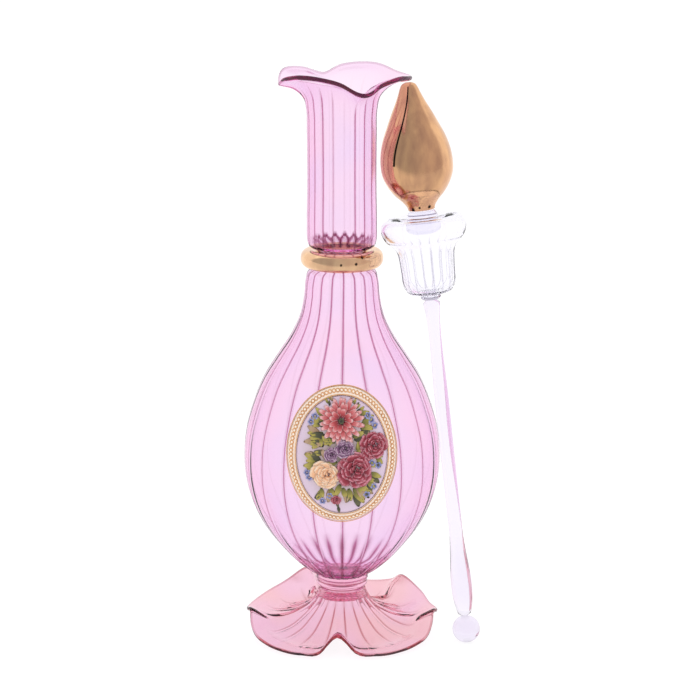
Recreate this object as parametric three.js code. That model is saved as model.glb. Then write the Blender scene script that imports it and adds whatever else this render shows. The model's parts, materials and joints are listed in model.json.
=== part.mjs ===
// Perfume bottle of hand-blown ribbed glass: a pear-shaped bulb on a petalled foot, a ribbed neck with a
// ruffled mouth, a gilt ring at the waist, and a dipper stopper that stands on its ball beside the bottle
// and leans towards the neck. Millimetres, +Z up, the bottle's front faces -Y.
import * as THREE from 'three';

// Glass
const RIBS = 20; // optic ribs round the bottle
const STEPS = 2 * RIBS; // mesh steps round a ribbed piece: one on each crest, one in each crease
const RIB_DEPTH = 0.5; // from crest to crease
const WALL = 1.4; // bulb and neck
const GAP = 0.3; // between pieces that are fused or touch on the real bottle

// Heights on the bottle
const FOOT_TOP_Z = 17.7;
const KNOP_TOP_Z = 23.8;
const BULB_BOTTOM_Z = KNOP_TOP_Z + GAP;
const BULB_WIDEST_Z = 73;
const WAIST_Z = 151;
const FLARE_Z = 204; // where the neck starts to open into the mouth
const RIM_Z = 222;

// Radii on the bottle
const FOOT_R = 36.6;
const THROAT_R = 9.3; // top of the foot
const KNOP_R = 10;
const BULB_R = 38.2;
const WAIST_R = 8.1;
const NECK_R = 13.4;
const RIM_R = 18.5; // in the valleys between the mouth's lobes

// Ruffles
const LOBES = 5; // round the mouth, the first one at +X
const LOBE_REACH = 7; // how much further out a lobe stands than a valley
const LOBE_DROOP = 1.7;
const MOUTH_TILT = 3; // back lobes rise and front lobes hang by this
const TILT_ANGLE = THREE.MathUtils.degToRad(72);
const PETALS = 5; // round the foot
const PETAL_ANGLE = THREE.MathUtils.degToRad(18); // middle of the first petal
const FOOT_WALL = 2.4;
const NOTCH_LIFT = 6.5; // pinched folds between the petals
const NOTCH_PULL = 4.5; // how far a fold is pushed in
const BACK_LIFT = 8; // the rear petal is lifted off the table

// Gilt ring at the waist
const RING_R = 12.35;
const RING_TUBE_R = 3.6;

// Oval picture on the front of the bulb
const PICTURE_Z = 82.1; // its middle
const PICTURE_HALF_WIDTH = 17.5;
const PICTURE_HALF_HEIGHT = 22.4;
const PICTURE_THICKNESS = 0.5;
const FRAME_HALF_WIDTH = 1.65;
const FRAME_HEIGHT = 1.4;
const LIFT_OFF_BULB = RIB_DEPTH / 2 + GAP;

// Dipper stopper: it stands on its ball and leans from there towards the neck
const BALL_R = 5.4;
const BALL_CENTRE = new THREE.Vector3(48.6, -14, BALL_R);
const LEAN = new THREE.Vector3(-0.1108, 0.0764, 0.9909).normalize();
const ROD_R = 2.7;
const WELD_R = 3.9;
const PLUG_RIBS = 18;
const PLUG_WALL = 1.3;
const FINIAL_WALL = 3.5;
const FINIAL_R = 13.9;
const SEAT_HEIGHT = 9;
const PLUG_HEIGHT = 31;

// Heights along the stopper from the centre of its ball
const ROD_TOP = 130.9;
const WELD_TOP = 133;
const PLUG_BOTTOM = WELD_TOP + GAP;
const SEAT_TOP = 165.6;
const FINIAL_BOTTOM = SEAT_TOP + GAP;
const FINIAL_WIDEST = 183.6;
const FINIAL_TOP = 214.8;

const material = (name, color, roughness, metalness, opacity = 1) =>
  new THREE.MeshStandardMaterial({ name, color, roughness, metalness, opacity, transparent: opacity < 1 });
const pinkGlass = material('pink_glass', 0xf2c0dd, 0.06, 0, 0.5);
const roseGlass = material('rose_glass', 0xd98ba6, 0.08, 0, 0.7);
const clearGlass = material('clear_glass', 0xf0f0fb, 0.05, 0, 0.4);
const ringGilt = material('ring_gilt', 0xd9a672, 0.25, 1);
const finialGilt = material('finial_gilt', 0xb98f62, 0.2, 1);
const enamel = material('flower_enamel', 0xe3c6d8, 0.4, 0);
const frameGilt = material('frame_gilt', 0xcf9c5a, 0.35, 1);

const points = (pairs) => pairs.map(([r, z]) => new THREE.Vector2(r, z));

// Two lines of points a wall's thickness apart. The first runs through the given points and has the glass
// on its left.
function wallLines(pairs, wall, samples) {
  const line = new THREE.SplineCurve(points(pairs));
  const outside = line.getPoints(samples);
  const inside = outside.map((point, i) => {
    const along = line.getTangent(i / samples);
    return new THREE.Vector2(point.x - wall * along.y, point.y + wall * along.x);
  });
  return { outside, inside };
}

// The point that rounds off a wall's edge between its two corners.
function roundedEdge(from, to) {
  const middle = from.clone().add(to).multiplyScalar(0.5);
  return middle.add(new THREE.Vector2(to.y - from.y, from.x - to.x).multiplyScalar(0.4));
}

// Turns an outline about Z, then moves each point by shape(radius, height, angle).
function turned(outline, steps, shape) {
  const geometry = new THREE.LatheGeometry(outline, steps);
  geometry.rotateX(Math.PI / 2);
  if (!shape) return geometry;
  const at = geometry.attributes.position;
  for (let i = 0; i < at.count; i += 1) {
    const angle = Math.atan2(at.getY(i), at.getX(i));
    const [r, z] = shape(Math.hypot(at.getX(i), at.getY(i)), at.getZ(i), angle);
    at.setXYZ(i, r * Math.cos(angle), r * Math.sin(angle), z);
  }
  geometry.computeVertexNormals();
  return geometry;
}

// Radius with the optic ribs added, which fade out towards the axis.
function ribbed(r, angle, ribs = RIBS) {
  const fade = Math.min(1, r / THROAT_R);
  return r - (RIB_DEPTH / 2) * fade * Math.cos(ribs * angle);
}

function mesh(name, geometry, finish) {
  const piece = new THREE.Mesh(geometry, finish);
  piece.name = name;
  return piece;
}

// The bulb's outer line, from the knop up to the pinched waist.
const bulbLines = wallLines([
  [KNOP_R - 0.2, BULB_BOTTOM_Z], [14.3, 26.9], [24.2, 36.7], [33.9, 51.3], [BULB_R, BULB_WIDEST_Z],
  [35.6, 90.3], [27, 109.4], [18.2, 123.9], [14.1, 138], [13.2, 143.3], [12.2, 145.6], [9.9, 147.6],
  [8.5, 149.2], [WAIST_R, WAIST_Z - GAP / 2],
], WALL, 26);

// The bulb's outer radius at a height, leaving out the ribs.
function bulbRadius(z) {
  const line = bulbLines.outside;
  const above = line.findIndex((point) => point.y > z);
  const part = (z - line[above - 1].y) / (line[above].y - line[above - 1].y);
  return THREE.MathUtils.lerp(line[above - 1].x, line[above].x, part);
}

function bulb() {
  const { outside, inside } = bulbLines;
  const floorZ = BULB_BOTTOM_Z + 2 * WALL;
  const outline = [
    new THREE.Vector2(0, BULB_BOTTOM_Z), ...outside, ...inside.toReversed(), new THREE.Vector2(0, floorZ),
  ];
  return turned(outline, STEPS, (r, z, angle) => [ribbed(r, angle), z]);
}

function neck() {
  const { outside, inside } = wallLines([
    [WAIST_R, WAIST_Z + GAP / 2], [8.5, 152.8], [9.7, 154.3], [12.2, 155.4], [13.1, 157.2], [NECK_R, 162],
    [NECK_R - 0.2, 182], [NECK_R, FLARE_Z], [14.6, 212], [16.6, 218.4], [RIM_R, RIM_Z],
  ], WALL, 18);
  const lip = roundedEdge(outside.at(-1), inside.at(-1));
  const outline = [...outside, lip, ...inside.toReversed(), outside[0]];
  return turned(outline, STEPS, (r, z, angle) => {
    const flare = THREE.MathUtils.smoothstep(z, FLARE_Z, RIM_Z) ** 1.5;
    const lobe = (1 + Math.cos(LOBES * angle)) / 2;
    const lift = MOUTH_TILT * Math.cos(angle - TILT_ANGLE) - LOBE_DROOP;
    return [ribbed(r, angle) + LOBE_REACH * lobe * flare, z + lift * lobe * flare];
  });
}

function collarRing() {
  const ring = new THREE.TorusGeometry(RING_R, RING_TUBE_R, 10, STEPS);
  ring.translate(0, 0, WAIST_Z);
  return ring;
}

// Two bands of glass between the bulb and the foot.
function footKnop() {
  const bottomZ = FOOT_TOP_Z + GAP;
  return turned(points([
    [0, bottomZ], [THROAT_R, bottomZ], [KNOP_R - 0.3, bottomZ + 0.7], [KNOP_R - 0.7, bottomZ + 1.5],
    [KNOP_R, bottomZ + 2.6], [KNOP_R + 0.1, bottomZ + 3.8], [KNOP_R - 0.3, bottomZ + 5],
    [THROAT_R, KNOP_TOP_Z], [0, KNOP_TOP_Z],
  ]), STEPS);
}

// A ruffled skirt that stands on four of its five petals, which are ground flat underneath.
function foot() {
  const { outside, inside } = wallLines([
    [FOOT_R, 2.15], [32, 2.2], [26.5, 3.4], [19, 6.6], [13, 11], [9.9, 15.2], [THROAT_R, FOOT_TOP_Z],
  ], FOOT_WALL, 12);
  const underside = inside.toReversed().filter((point) => point.x > 7.5);
  const outline = [
    new THREE.Vector2(0, 12.4), ...underside, roundedEdge(inside[0], outside[0]), ...outside,
    new THREE.Vector2(0, FOOT_TOP_Z),
  ];
  return turned(outline, STEPS, (r, z, angle) => {
    const out = THREE.MathUtils.smoothstep(r, THROAT_R, FOOT_R + 1);
    const fold = ((1 - Math.cos(PETALS * (angle - PETAL_ANGLE))) / 2) ** 2;
    const back = THREE.MathUtils.smoothstep(Math.sin(angle), 0.35, 1);
    const lift = (NOTCH_LIFT * fold + BACK_LIFT * back) * out;
    return [ribbed(r, angle) - NOTCH_PULL * fold * out, Math.max(z + lift, 0)];
  });
}

// Lays a flat shape on the front of the bulb: x runs across, y up the bulb, and z is the height off it.
function laidOnBulb(geometry) {
  const at = geometry.attributes.position;
  for (let i = 0; i < at.count; i += 1) {
    const z = PICTURE_Z + at.getY(i);
    const r = bulbRadius(z) + LIFT_OFF_BULB + at.getZ(i);
    at.setXYZ(i, at.getX(i), -Math.sqrt(r * r - at.getX(i) ** 2), z);
  }
  geometry.computeVertexNormals();
  return geometry;
}

function picture() {
  const disc = turned(points([
    [0, 0], [0.45, 0], [0.8, 0], [1, 0], [1, PICTURE_THICKNESS], [0.8, PICTURE_THICKNESS],
    [0.45, PICTURE_THICKNESS], [0, PICTURE_THICKNESS],
  ]), STEPS);
  return laidOnBulb(disc.scale(PICTURE_HALF_WIDTH, PICTURE_HALF_HEIGHT, 1));
}

// The raised rim round the picture: a flat-bottomed, round-topped bead that follows the oval.
function pictureFrame() {
  const section = points([
    [-FRAME_HALF_WIDTH, 0], [FRAME_HALF_WIDTH, 0], [0.75 * FRAME_HALF_WIDTH, 0.75 * FRAME_HEIGHT],
    [0, FRAME_HEIGHT], [-0.75 * FRAME_HALF_WIDTH, 0.75 * FRAME_HEIGHT], [-FRAME_HALF_WIDTH, 0],
  ]);
  const middleR = FRAME_HALF_WIDTH * 2;
  const ring = turned(section.map((point) => new THREE.Vector2(middleR + point.x, point.y)), STEPS);
  const at = ring.attributes.position;
  const reachX = PICTURE_HALF_WIDTH + GAP - FRAME_HALF_WIDTH;
  const reachY = PICTURE_HALF_HEIGHT + GAP - FRAME_HALF_WIDTH;
  for (let i = 0; i < at.count; i += 1) {
    const r = Math.hypot(at.getX(i), at.getY(i));
    at.setXYZ(i, at.getX(i) * (1 + reachX / r), at.getY(i) * (1 + reachY / r), at.getZ(i));
  }
  return laidOnBulb(ring);
}

function dipperRod() {
  const rod = new THREE.CylinderGeometry(ROD_R + 0.1, ROD_R, ROD_TOP - BALL_R - GAP, 16);
  rod.rotateX(Math.PI / 2);
  rod.translate(0, 0, (ROD_TOP + BALL_R + GAP) / 2);
  return rod;
}

function rodWeld() {
  return turned(points([
    [0, ROD_TOP + GAP], [ROD_R + 0.3, ROD_TOP + GAP], [WELD_R - 0.3, WELD_TOP - 1], [WELD_R, WELD_TOP],
    [0, WELD_TOP],
  ]), 16);
}

// A ribbed cup of clear glass whose top is rolled over into a thick flange.
function stopperPlug() {
  const top = PLUG_BOTTOM + PLUG_HEIGHT;
  const outline = points([
    [0, PLUG_BOTTOM], [7.4, PLUG_BOTTOM + 0.6], [10, PLUG_BOTTOM + 3.4], [10.8, PLUG_BOTTOM + 11],
    [11.2, PLUG_BOTTOM + 15.5], [12.4, top - 12], [14.4, top - 9.6], [16.1, top - 7], [16.4, top - 4.4],
    [15.4, top - 1.8], [13, top - 0.3], [10.2, top - 0.2], [8, top - 1.6], [7.3, top - 3.6],
    [7.9, top - 6.5], [9.6, top - 11], [9.9, PLUG_BOTTOM + 15], [9.5, PLUG_BOTTOM + 8],
    [8.6, PLUG_BOTTOM + 3.6], [6.6, PLUG_BOTTOM + 2], [0, PLUG_BOTTOM + PLUG_WALL + 0.2],
  ]);
  return turned(outline, 2 * PLUG_RIBS, (r, z, angle) => [ribbed(r, angle, PLUG_RIBS), z]);
}

// The clear bead between the plug's mouth and the finial.
function finialSeat() {
  const bottom = SEAT_TOP - SEAT_HEIGHT;
  return turned(points([
    [0, bottom], [5.4, bottom], [6.6, bottom + 1.6], [6.4, bottom + 4], [5.6, SEAT_TOP - 2], [4.9, SEAT_TOP],
    [0, SEAT_TOP],
  ]), 24);
}

// A hollow flame, open underneath.
function finial() {
  const { outside, inside } = wallLines([
    [5.3, FINIAL_BOTTOM], [7, 169.4], [10.8, 173.6], [13.1, 178], [FINIAL_R, FINIAL_WIDEST], [13.2, 189.6],
    [10.8, 197], [7.8, 203.6], [5, 209], [2.6, FINIAL_TOP],
  ], FINIAL_WALL, 15);
  const hollow = inside.filter((point) => point.x > 1.8 && point.y < FINIAL_TOP - 16).toReversed();
  const outline = [
    new THREE.Vector2(0, hollow[0].y + 2), ...hollow, ...outside, new THREE.Vector2(0, FINIAL_TOP),
  ];
  return turned(outline, 26);
}

function bottle() {
  const group = new THREE.Group();
  group.add(
    mesh('bulb', bulb(), pinkGlass),
    mesh('neck', neck(), pinkGlass),
    mesh('collar_ring', collarRing(), ringGilt),
    mesh('foot_knop', footKnop(), roseGlass),
    mesh('foot', foot(), roseGlass),
    mesh('flower_picture', picture(), enamel),
    mesh('picture_frame', pictureFrame(), frameGilt),
  );
  return group;
}

function dipperStopper() {
  const group = new THREE.Group();
  group.add(
    mesh('dipper_ball', new THREE.SphereGeometry(BALL_R, 20, 12), clearGlass),
    mesh('dipper_rod', dipperRod(), clearGlass),
    mesh('rod_weld', rodWeld(), clearGlass),
    mesh('stopper_plug', stopperPlug(), clearGlass),
    mesh('finial_seat', finialSeat(), clearGlass),
    mesh('finial', finial(), finialGilt),
  );
  group.position.copy(BALL_CENTRE);
  group.quaternion.setFromUnitVectors(new THREE.Vector3(0, 0, 1), LEAN);
  return group;
}

// The origin is the middle of the footprint of bottle and stopper together, on the table.
const group = new THREE.Group();
group.add(bottle(), dipperStopper());
const box = new THREE.Box3().setFromObject(group, true);
group.position.set(-(box.min.x + box.max.x) / 2, -(box.min.y + box.max.y) / 2, -box.min.z);

export default group;
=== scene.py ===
# %% [markdown]
# # A ribbed glass perfume bottle
# The bottle is hand blown: a pear-shaped bulb and a long neck of lilac-pink glass with optic ribs, a gilt
# ring at the waist, a ruffled foot, and an oval enamel picture in a gilt rope frame. Its stopper stands
# beside it on a long dipper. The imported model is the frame: it fixes every place and size, and this script
# makes the looks.

# %% Load the frame
import json
import math

import bmesh
import bpy
import numpy as np
from mathutils import Matrix, Vector

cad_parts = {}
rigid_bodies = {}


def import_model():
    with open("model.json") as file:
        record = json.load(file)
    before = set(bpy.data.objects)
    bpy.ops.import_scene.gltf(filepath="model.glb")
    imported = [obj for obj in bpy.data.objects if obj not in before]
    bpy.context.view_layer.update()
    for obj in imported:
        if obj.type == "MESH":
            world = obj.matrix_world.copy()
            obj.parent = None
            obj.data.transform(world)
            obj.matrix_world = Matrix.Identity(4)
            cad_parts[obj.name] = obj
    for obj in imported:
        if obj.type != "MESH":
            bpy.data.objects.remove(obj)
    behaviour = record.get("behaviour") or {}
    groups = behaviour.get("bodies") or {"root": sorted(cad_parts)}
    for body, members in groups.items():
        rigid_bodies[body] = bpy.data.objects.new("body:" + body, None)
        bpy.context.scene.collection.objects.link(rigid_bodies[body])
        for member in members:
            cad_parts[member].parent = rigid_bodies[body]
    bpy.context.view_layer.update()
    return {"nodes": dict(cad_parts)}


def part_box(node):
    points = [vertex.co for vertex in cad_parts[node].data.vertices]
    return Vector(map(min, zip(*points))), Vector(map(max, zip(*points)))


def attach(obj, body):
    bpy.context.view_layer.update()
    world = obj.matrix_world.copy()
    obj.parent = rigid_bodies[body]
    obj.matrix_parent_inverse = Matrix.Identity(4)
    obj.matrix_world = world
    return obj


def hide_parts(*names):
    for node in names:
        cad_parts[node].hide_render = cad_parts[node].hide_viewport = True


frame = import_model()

MM = 0.001
print("frame:", sorted(frame["nodes"]))

# %% [markdown]
# ## Places
# Two lines hold everything. The bottle turns about a vertical line through the middle of its ring. The
# stopper turns about a leaning line from the centre of its ball through its seat. Each piece is drawn in
# millimetres about one of these lines and then carried into place by a matrix, so its object stays at the
# origin.

# %% The two axes
def middle(node):
    low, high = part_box(node)
    return (low + high) / 2


def half_size(node):
    """Half of a node's width, depth and height in millimetres."""
    return [(top - bottom) / 2 / MM for bottom, top in zip(*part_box(node))]


ring_middle = middle("collar_ring")
ball_middle = middle("dipper_ball")
lean = (middle("finial_seat") - ball_middle).normalized()
ON_BOTTLE = Matrix.Translation((ring_middle.x, ring_middle.y, 0)) @ Matrix.Scale(MM, 4)
UPRIGHT_TO_LEAN = Vector((0, 0, 1)).rotation_difference(lean).to_matrix().to_4x4()
ON_STOPPER = Matrix.Translation(ball_middle) @ UPRIGHT_TO_LEAN @ Matrix.Scale(MM, 4)
WAIST = ring_middle.z / MM
print("ring at", [round(v / MM, 2) for v in ring_middle], "lean", [round(v, 4) for v in lean])

# %% [markdown]
# ## Camera and light
# The bottle is seen from a little above with a long lens. Clear glass shows its form by what it bends, so it
# stands in a light tent: a white floor and a white wall behind, and a duller room on the camera's side. The
# gilt mirrors that dull side in its middle and the white wall at its edges.

# %% Camera
CAMERA_DISTANCE = 1.061
CAMERA_HEIGHT = 0.375
CAMERA_PITCH = math.radians(13.8)
CAMERA_RIGHT = 0.0031
camera = bpy.data.objects.new("camera", bpy.data.cameras.new("camera"))
camera.data.sensor_width = 36
camera.data.lens = 145
camera.location = (ring_middle.x + CAMERA_RIGHT, ring_middle.y - CAMERA_DISTANCE, CAMERA_HEIGHT)
camera.rotation_euler = (math.pi / 2 - CAMERA_PITCH, 0, 0)
bpy.context.scene.collection.objects.link(camera)
bpy.context.scene.camera = camera
print("lens", camera.data.lens, "mm")

# %% [markdown]
# ## Shader sums as Python sums
# A node tree is a sum written in boxes. This class wraps one output, so that 1 - mask or mask * 0.4 adds
# the Math node for it. Every other node comes from add, which takes its type, its settings and its sockets.
# Colours are given as red, green and blue.

# %% A socket that can be added and multiplied
class Signal:
    def __init__(self, tree, socket=None):
        self.tree, self.socket = tree, socket

    def add(self, kind, settings=None, sockets=None, out=0):
        node = self.tree.nodes.new(kind)
        for key, value in (settings or {}).items():
            setattr(node, key, value)
        for key, value in (sockets or {}).items():
            socket = node.inputs[key]
            if isinstance(value, Signal):
                self.tree.links.new(value.socket, socket)
            else:
                socket.default_value = (*value, 1) if socket.type == "RGBA" else value
        return Signal(self.tree, node.outputs[out] if len(node.outputs) else None)

    def math(self, operation, *values, clamp=False):
        settings = {"operation": operation, "use_clamp": clamp}
        return self.add("ShaderNodeMath", settings, dict(enumerate(values)))

    def noise(self, place, scale, detail):
        return self.add("ShaderNodeTexNoise", sockets={"Vector": place, "Scale": scale, "Detail": detail})

    def mixed(self, low, high):
        """A colour between low, where this is 0, and high, where it is 1."""
        return self.add("ShaderNodeMix", {"data_type": "RGBA"}, {0: self, 6: low, 7: high}, out=2)

    def stretched(self, low, high):
        """0 below low, 1 above high, and a straight rise between them."""
        slope = 1 / (high - low)
        return self.math("ADD", self.math("MULTIPLY", self, slope), -low / (high - low), clamp=True)

    def scaled(self, vector):
        return self.add("ShaderNodeVectorMath", {"operation": "SCALE"}, {0: vector, 3: self})

    def vector(self, operation, *values):
        return self.add("ShaderNodeVectorMath", {"operation": operation}, dict(enumerate(values)))

    def xyz(self, x=0.0, y=0.0, z=0.0):
        return self.add("ShaderNodeCombineXYZ", sockets={0: x, 1: y, 2: z})

    def __add__(self, other):
        return self.math("ADD", self, other)

    def __sub__(self, other):
        return self.math("SUBTRACT", self, other)

    def __mul__(self, other):
        return self.math("MULTIPLY", self, other)

    def __truediv__(self, other):
        return self.math("DIVIDE", self, other)

    def __pow__(self, other):
        return self.math("POWER", self, other)

    def __rsub__(self, other):
        return self.math("SUBTRACT", other, self)

    __radd__ = __add__
    __rmul__ = __mul__


print("sums ready")

# %% The light tent
# Colours of the tent: its dull side left and right of the camera, and its white wall. Light that reaches the
# dull side through glass or from a matt surface finds it paler, and the camera itself sees only the wall.
ROOM_LEFT = (0.46, 0.47, 0.50)
ROOM_RIGHT = (0.64, 0.60, 0.62)
THROUGH_GLASS = (0.88, 0.86, 0.90)
ON_MATT = (0.96, 0.95, 0.96)
WALL = (1.0, 0.995, 1.0)
WALL_EDGE = (-0.06, 0.14)
TENT_STRENGTH = 1.05
world = bpy.data.worlds.new("light_tent")
bpy.context.scene.world = world
world.use_nodes = True
world.node_tree.nodes.clear()
sky = Signal(world.node_tree)
way = sky.add("ShaderNodeTexCoord")
across, ahead = (sky.add("ShaderNodeSeparateXYZ", sockets={0: way}, out=axis) for axis in "XY")
tent = across.stretched(-0.6, 0.7).mixed(ROOM_LEFT, ROOM_RIGHT)
for ray, seen in (("Is Transmission Ray", THROUGH_GLASS), ("Is Diffuse Ray", ON_MATT)):
    tent = sky.add("ShaderNodeLightPath", out=ray).mixed(tent, seen)
tent = ahead.stretched(*WALL_EDGE).mixed(tent, WALL)
tent = sky.add("ShaderNodeLightPath", out="Is Camera Ray").mixed(tent, WALL)
glow = sky.add("ShaderNodeBackground", sockets={"Color": tent, "Strength": TENT_STRENGTH})
sky.add("ShaderNodeOutputWorld", sockets={"Surface": glow})
scene = bpy.context.scene
scene.view_settings.view_transform = "Standard"
scene.cycles.max_bounces = 28
scene.cycles.transmission_bounces = 28
scene.cycles.transparent_max_bounces = 16
print("tent:", len(world.node_tree.nodes), "nodes")

# %% Floor
def plain_material(name):
    material = bpy.data.materials.new(name)
    material.use_nodes = True
    material.node_tree.nodes.clear()
    return material, Signal(material.node_tree)


floor_paint, paint = plain_material("white_floor")
place = paint.add("ShaderNodeTexCoord", out="Object")
near = paint.add("ShaderNodeSeparateXYZ", sockets={0: place}, out="Y")
mirrored = paint.add("ShaderNodeLightPath", out="Is Glossy Ray")
mirrored = mirrored * (1.0 - Signal(paint.tree, mirrored.socket.node.outputs["Is Transmission Ray"]))
shine = 0.86 - mirrored * (1.0 - near.stretched(-0.06, 0.16)) * 0.3
sheet = paint.add("ShaderNodeBsdfPrincipled", sockets={
    "Base Color": (0.24, 0.23, 0.24), "Roughness": 0.9, "Specular IOR Level": 0.0,
    "Emission Color": (1, 1, 1), "Emission Strength": shine})
gone = paint.add("ShaderNodeBsdfTransparent")
surface = paint.add("ShaderNodeMixShader", sockets={0: near.stretched(-0.9, -0.3), 1: gone, 2: sheet})
paint.add("ShaderNodeOutputMaterial", sockets={"Surface": surface})
bpy.ops.mesh.primitive_plane_add(size=24, location=(0, 0, -0.0002))
floor = bpy.context.object
floor.name = "floor"
floor.data.materials.append(floor_paint)
print("floor", floor.dimensions.x, "m wide")

# %% [markdown]
# ## Glass
# Blown glass is clear all through, and its colour comes from depth: light loses green first on its way
# through the pink melt, so thin walls look pale and folds look deep rose. Volume absorption does just that.
# The dark lines at the creases between the ribs, and the deep colour of rims and folds, are painted shade
# that the base colour adds along them.

# %% Glass materials
# Share of the light that scatters, as from a matt surface, where the painted shade is densest.
SCATTERED = 0.4


def finished(material, shader, volume=None):
    sockets = {"Surface": shader}
    if volume:
        sockets["Volume"] = volume
    shader.add("ShaderNodeOutputMaterial", sockets=sockets)
    return material


def attribute(signal, name):
    return signal.add("ShaderNodeAttribute", {"attribute_name": name}, out=2)


def glass(name, faces, painted_dark, deep, melt, density, index):
    """faces are the two tints that a surface drifts between; the colour after them is the painted shade of
    creases, and deep is the painted shade of folds and rims. melt is the colour that density per metre
    leaves."""
    material, s = plain_material(name)
    place = s.add("ShaderNodeTexCoord", out="Object")
    waves = s.noise(place, 70.0, 2.0)
    drift = s.noise(place, 38.0, 1.0)
    painted_shade_mask = attribute(s, "painted_dark")
    tint = drift.stretched(0.38, 0.62).mixed(*faces)
    # Painted shade: the crease colour, then the deep colour, where the stored painted dark is high.
    tint = painted_shade_mask.stretched(0, 0.6).mixed(tint, painted_dark)
    tint = painted_shade_mask.stretched(0.55, 1).mixed(tint, deep)
    clear = s.add("ShaderNodeBsdfPrincipled", sockets={
        "Base Color": tint, "Roughness": waves * 0.02, "IOR": index, "Transmission Weight": 1.0})
    matt_shade = s.add("ShaderNodeBsdfPrincipled", sockets={"Base Color": tint, "Roughness": waves * 0.3 + 0.1})
    shader = s.add("ShaderNodeMixShader", sockets={0: painted_shade_mask * SCATTERED, 1: clear, 2: matt_shade})
    depth = s.add("ShaderNodeVolumeAbsorption", sockets={"Color": melt, "Density": density})
    return finished(material, shader, depth)


# In each glass the colour after the two faces is painted shade of creases, and the next is painted shade of
# folds and rims.
PINK_GLASS = glass("pink_glass", ((0.935, 0.925, 0.98), (0.965, 0.935, 0.965)), (0.42, 0.09, 0.24),
                   (0.27, 0.06, 0.09), (0.92, 0.26, 0.70), 130, 1.18)
ROSE_GLASS = glass("rose_glass", ((0.875, 0.58, 0.73), (0.895, 0.58, 0.63)), (0.46, 0.09, 0.11),
                   (0.44, 0.05, 0.06), (0.92, 0.40, 0.50), 60, 1.2)
KNOP_GLASS = glass("knop_glass", ((0.97, 0.72, 0.84), (0.98, 0.80, 0.88)), (0.46, 0.06, 0.12),
                   (0.30, 0.02, 0.05), (0.92, 0.40, 0.62), 35, 1.3)
CLEAR_GLASS = glass("clear_glass", ((0.985, 0.98, 1.0), (0.985, 0.99, 1.0)), (0.62, 0.59, 0.72),
                    (0.05, 0.03, 0.03), (0.80, 0.76, 0.94), 40, 1.22)
THICK_GLASS = glass("thick_glass", ((0.975, 0.96, 0.99), (0.98, 0.97, 1.0)), (0.62, 0.59, 0.72),
                    (0.05, 0.03, 0.03), (0.78, 0.70, 0.88), 60, 1.5)
print("glass:", PINK_GLASS.name, ROSE_GLASS.name, CLEAR_GLASS.name, THICK_GLASS.name)

# %% [markdown]
# ## Gilt
# Gold lustre is a film of real gold fired on glass, so it is a mirror with gold's colour. Where it was
# brushed on more thinly it is browner and a little duller, and the glass under it is never quite flat.

# %% Gilt materials
def gilt(name, bright, dull, smooth, wobble, metal=1.0):
    """A brushed film: long faint strokes run up the piece, and its stored painted dark turns it dark brown,
    for a painted reflection on the flame and for dark spots.
    """
    material, s = plain_material(name)
    place = s.add("ShaderNodeTexCoord", out="Object")
    strokes = s.add("ShaderNodeMapping", sockets={"Vector": place, "Scale": (1.0, 1.0, 0.3)})
    cloud = s.noise(strokes, 260.0, 4.0)
    swell = s.noise(place, 140.0, 0.0)
    bump = s.add("ShaderNodeBump", sockets={"Height": swell, "Strength": wobble, "Distance": 0.001})
    worn = cloud.stretched(0.3, 0.72)
    dark_marks = attribute(s, "painted_dark").stretched(0.25, 0.6)
    shader = s.add("ShaderNodeBsdfPrincipled", sockets={
        "Base Color": dark_marks.mixed(worn.mixed(bright, dull), (0.02, 0.012, 0.01)), "Metallic": metal,
        "Roughness": worn * 0.1 + smooth, "Normal": bump})
    return finished(material, shader)


RING_GILT = gilt("ring_gilt", (0.95, 0.63, 0.37), (0.76, 0.46, 0.28), 0.07, 0.22)
FLAME_GILT = gilt("flame_gilt", (0.86, 0.50, 0.26), (0.58, 0.32, 0.19), 0.10, 0.14)
ROPE_GILT = gilt("rope_gilt", (0.86, 0.47, 0.20), (0.62, 0.30, 0.12), 0.25, 0.05, metal=0.25)
print("gilt:", RING_GILT.name, FLAME_GILT.name, ROPE_GILT.name)

# %% [markdown]
# ## Turned walls
# Every glass piece is a wall that goes round an axis. Its outline may change with the angle, as at a
# ruffled rim, so each angle gets its own line of control points, and all the lines are smoothed and
# thickened together. The mesh is one closed skin: up the outside, over the rim and down the inside.

# %% Smooth lines and round edges
EDGE_ROWS = 7


def smooth_line(points, count):
    """count samples on a smooth line through points, whose last two axes are the points and their values."""
    points = np.asarray(points, float)
    steps = np.diff(points, axis=-2)
    lengths = np.linalg.norm(steps, axis=-1)
    lengths = lengths.reshape(-1, lengths.shape[-1]).mean(0)
    slopes = steps / lengths[:, None]
    inner = (slopes[..., :-1, :] * lengths[1:, None] + slopes[..., 1:, :] * lengths[:-1, None])
    inner /= (lengths[1:] + lengths[:-1])[:, None]
    tangents = np.concatenate([slopes[..., :1, :], inner, slopes[..., -1:, :]], axis=-2)
    stations = np.concatenate([[0], np.cumsum(lengths)])
    at = np.linspace(0, stations[-1], count)
    left = np.clip(np.searchsorted(stations, at, side="right") - 1, 0, len(lengths) - 1)
    part = ((at - stations[left]) / lengths[left])[:, None]
    span = lengths[left][:, None]
    start, end = points[..., left, :], points[..., left + 1, :]
    rise, fall = tangents[..., left, :] * span, tangents[..., left + 1, :] * span
    ease = part * part * (3 - 2 * part)
    return (start * (1 - ease) + end * ease + rise * part * (1 - part) ** 2 - fall * part * part * (1 - part))


def outward(line):
    """Unit normals of lines of (radius, height), to the right of their run."""
    along = np.gradient(line, axis=-2)
    along /= np.linalg.norm(along, axis=-1, keepdims=True)
    return np.stack([along[..., 1], -along[..., 0]], axis=-1)


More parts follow.
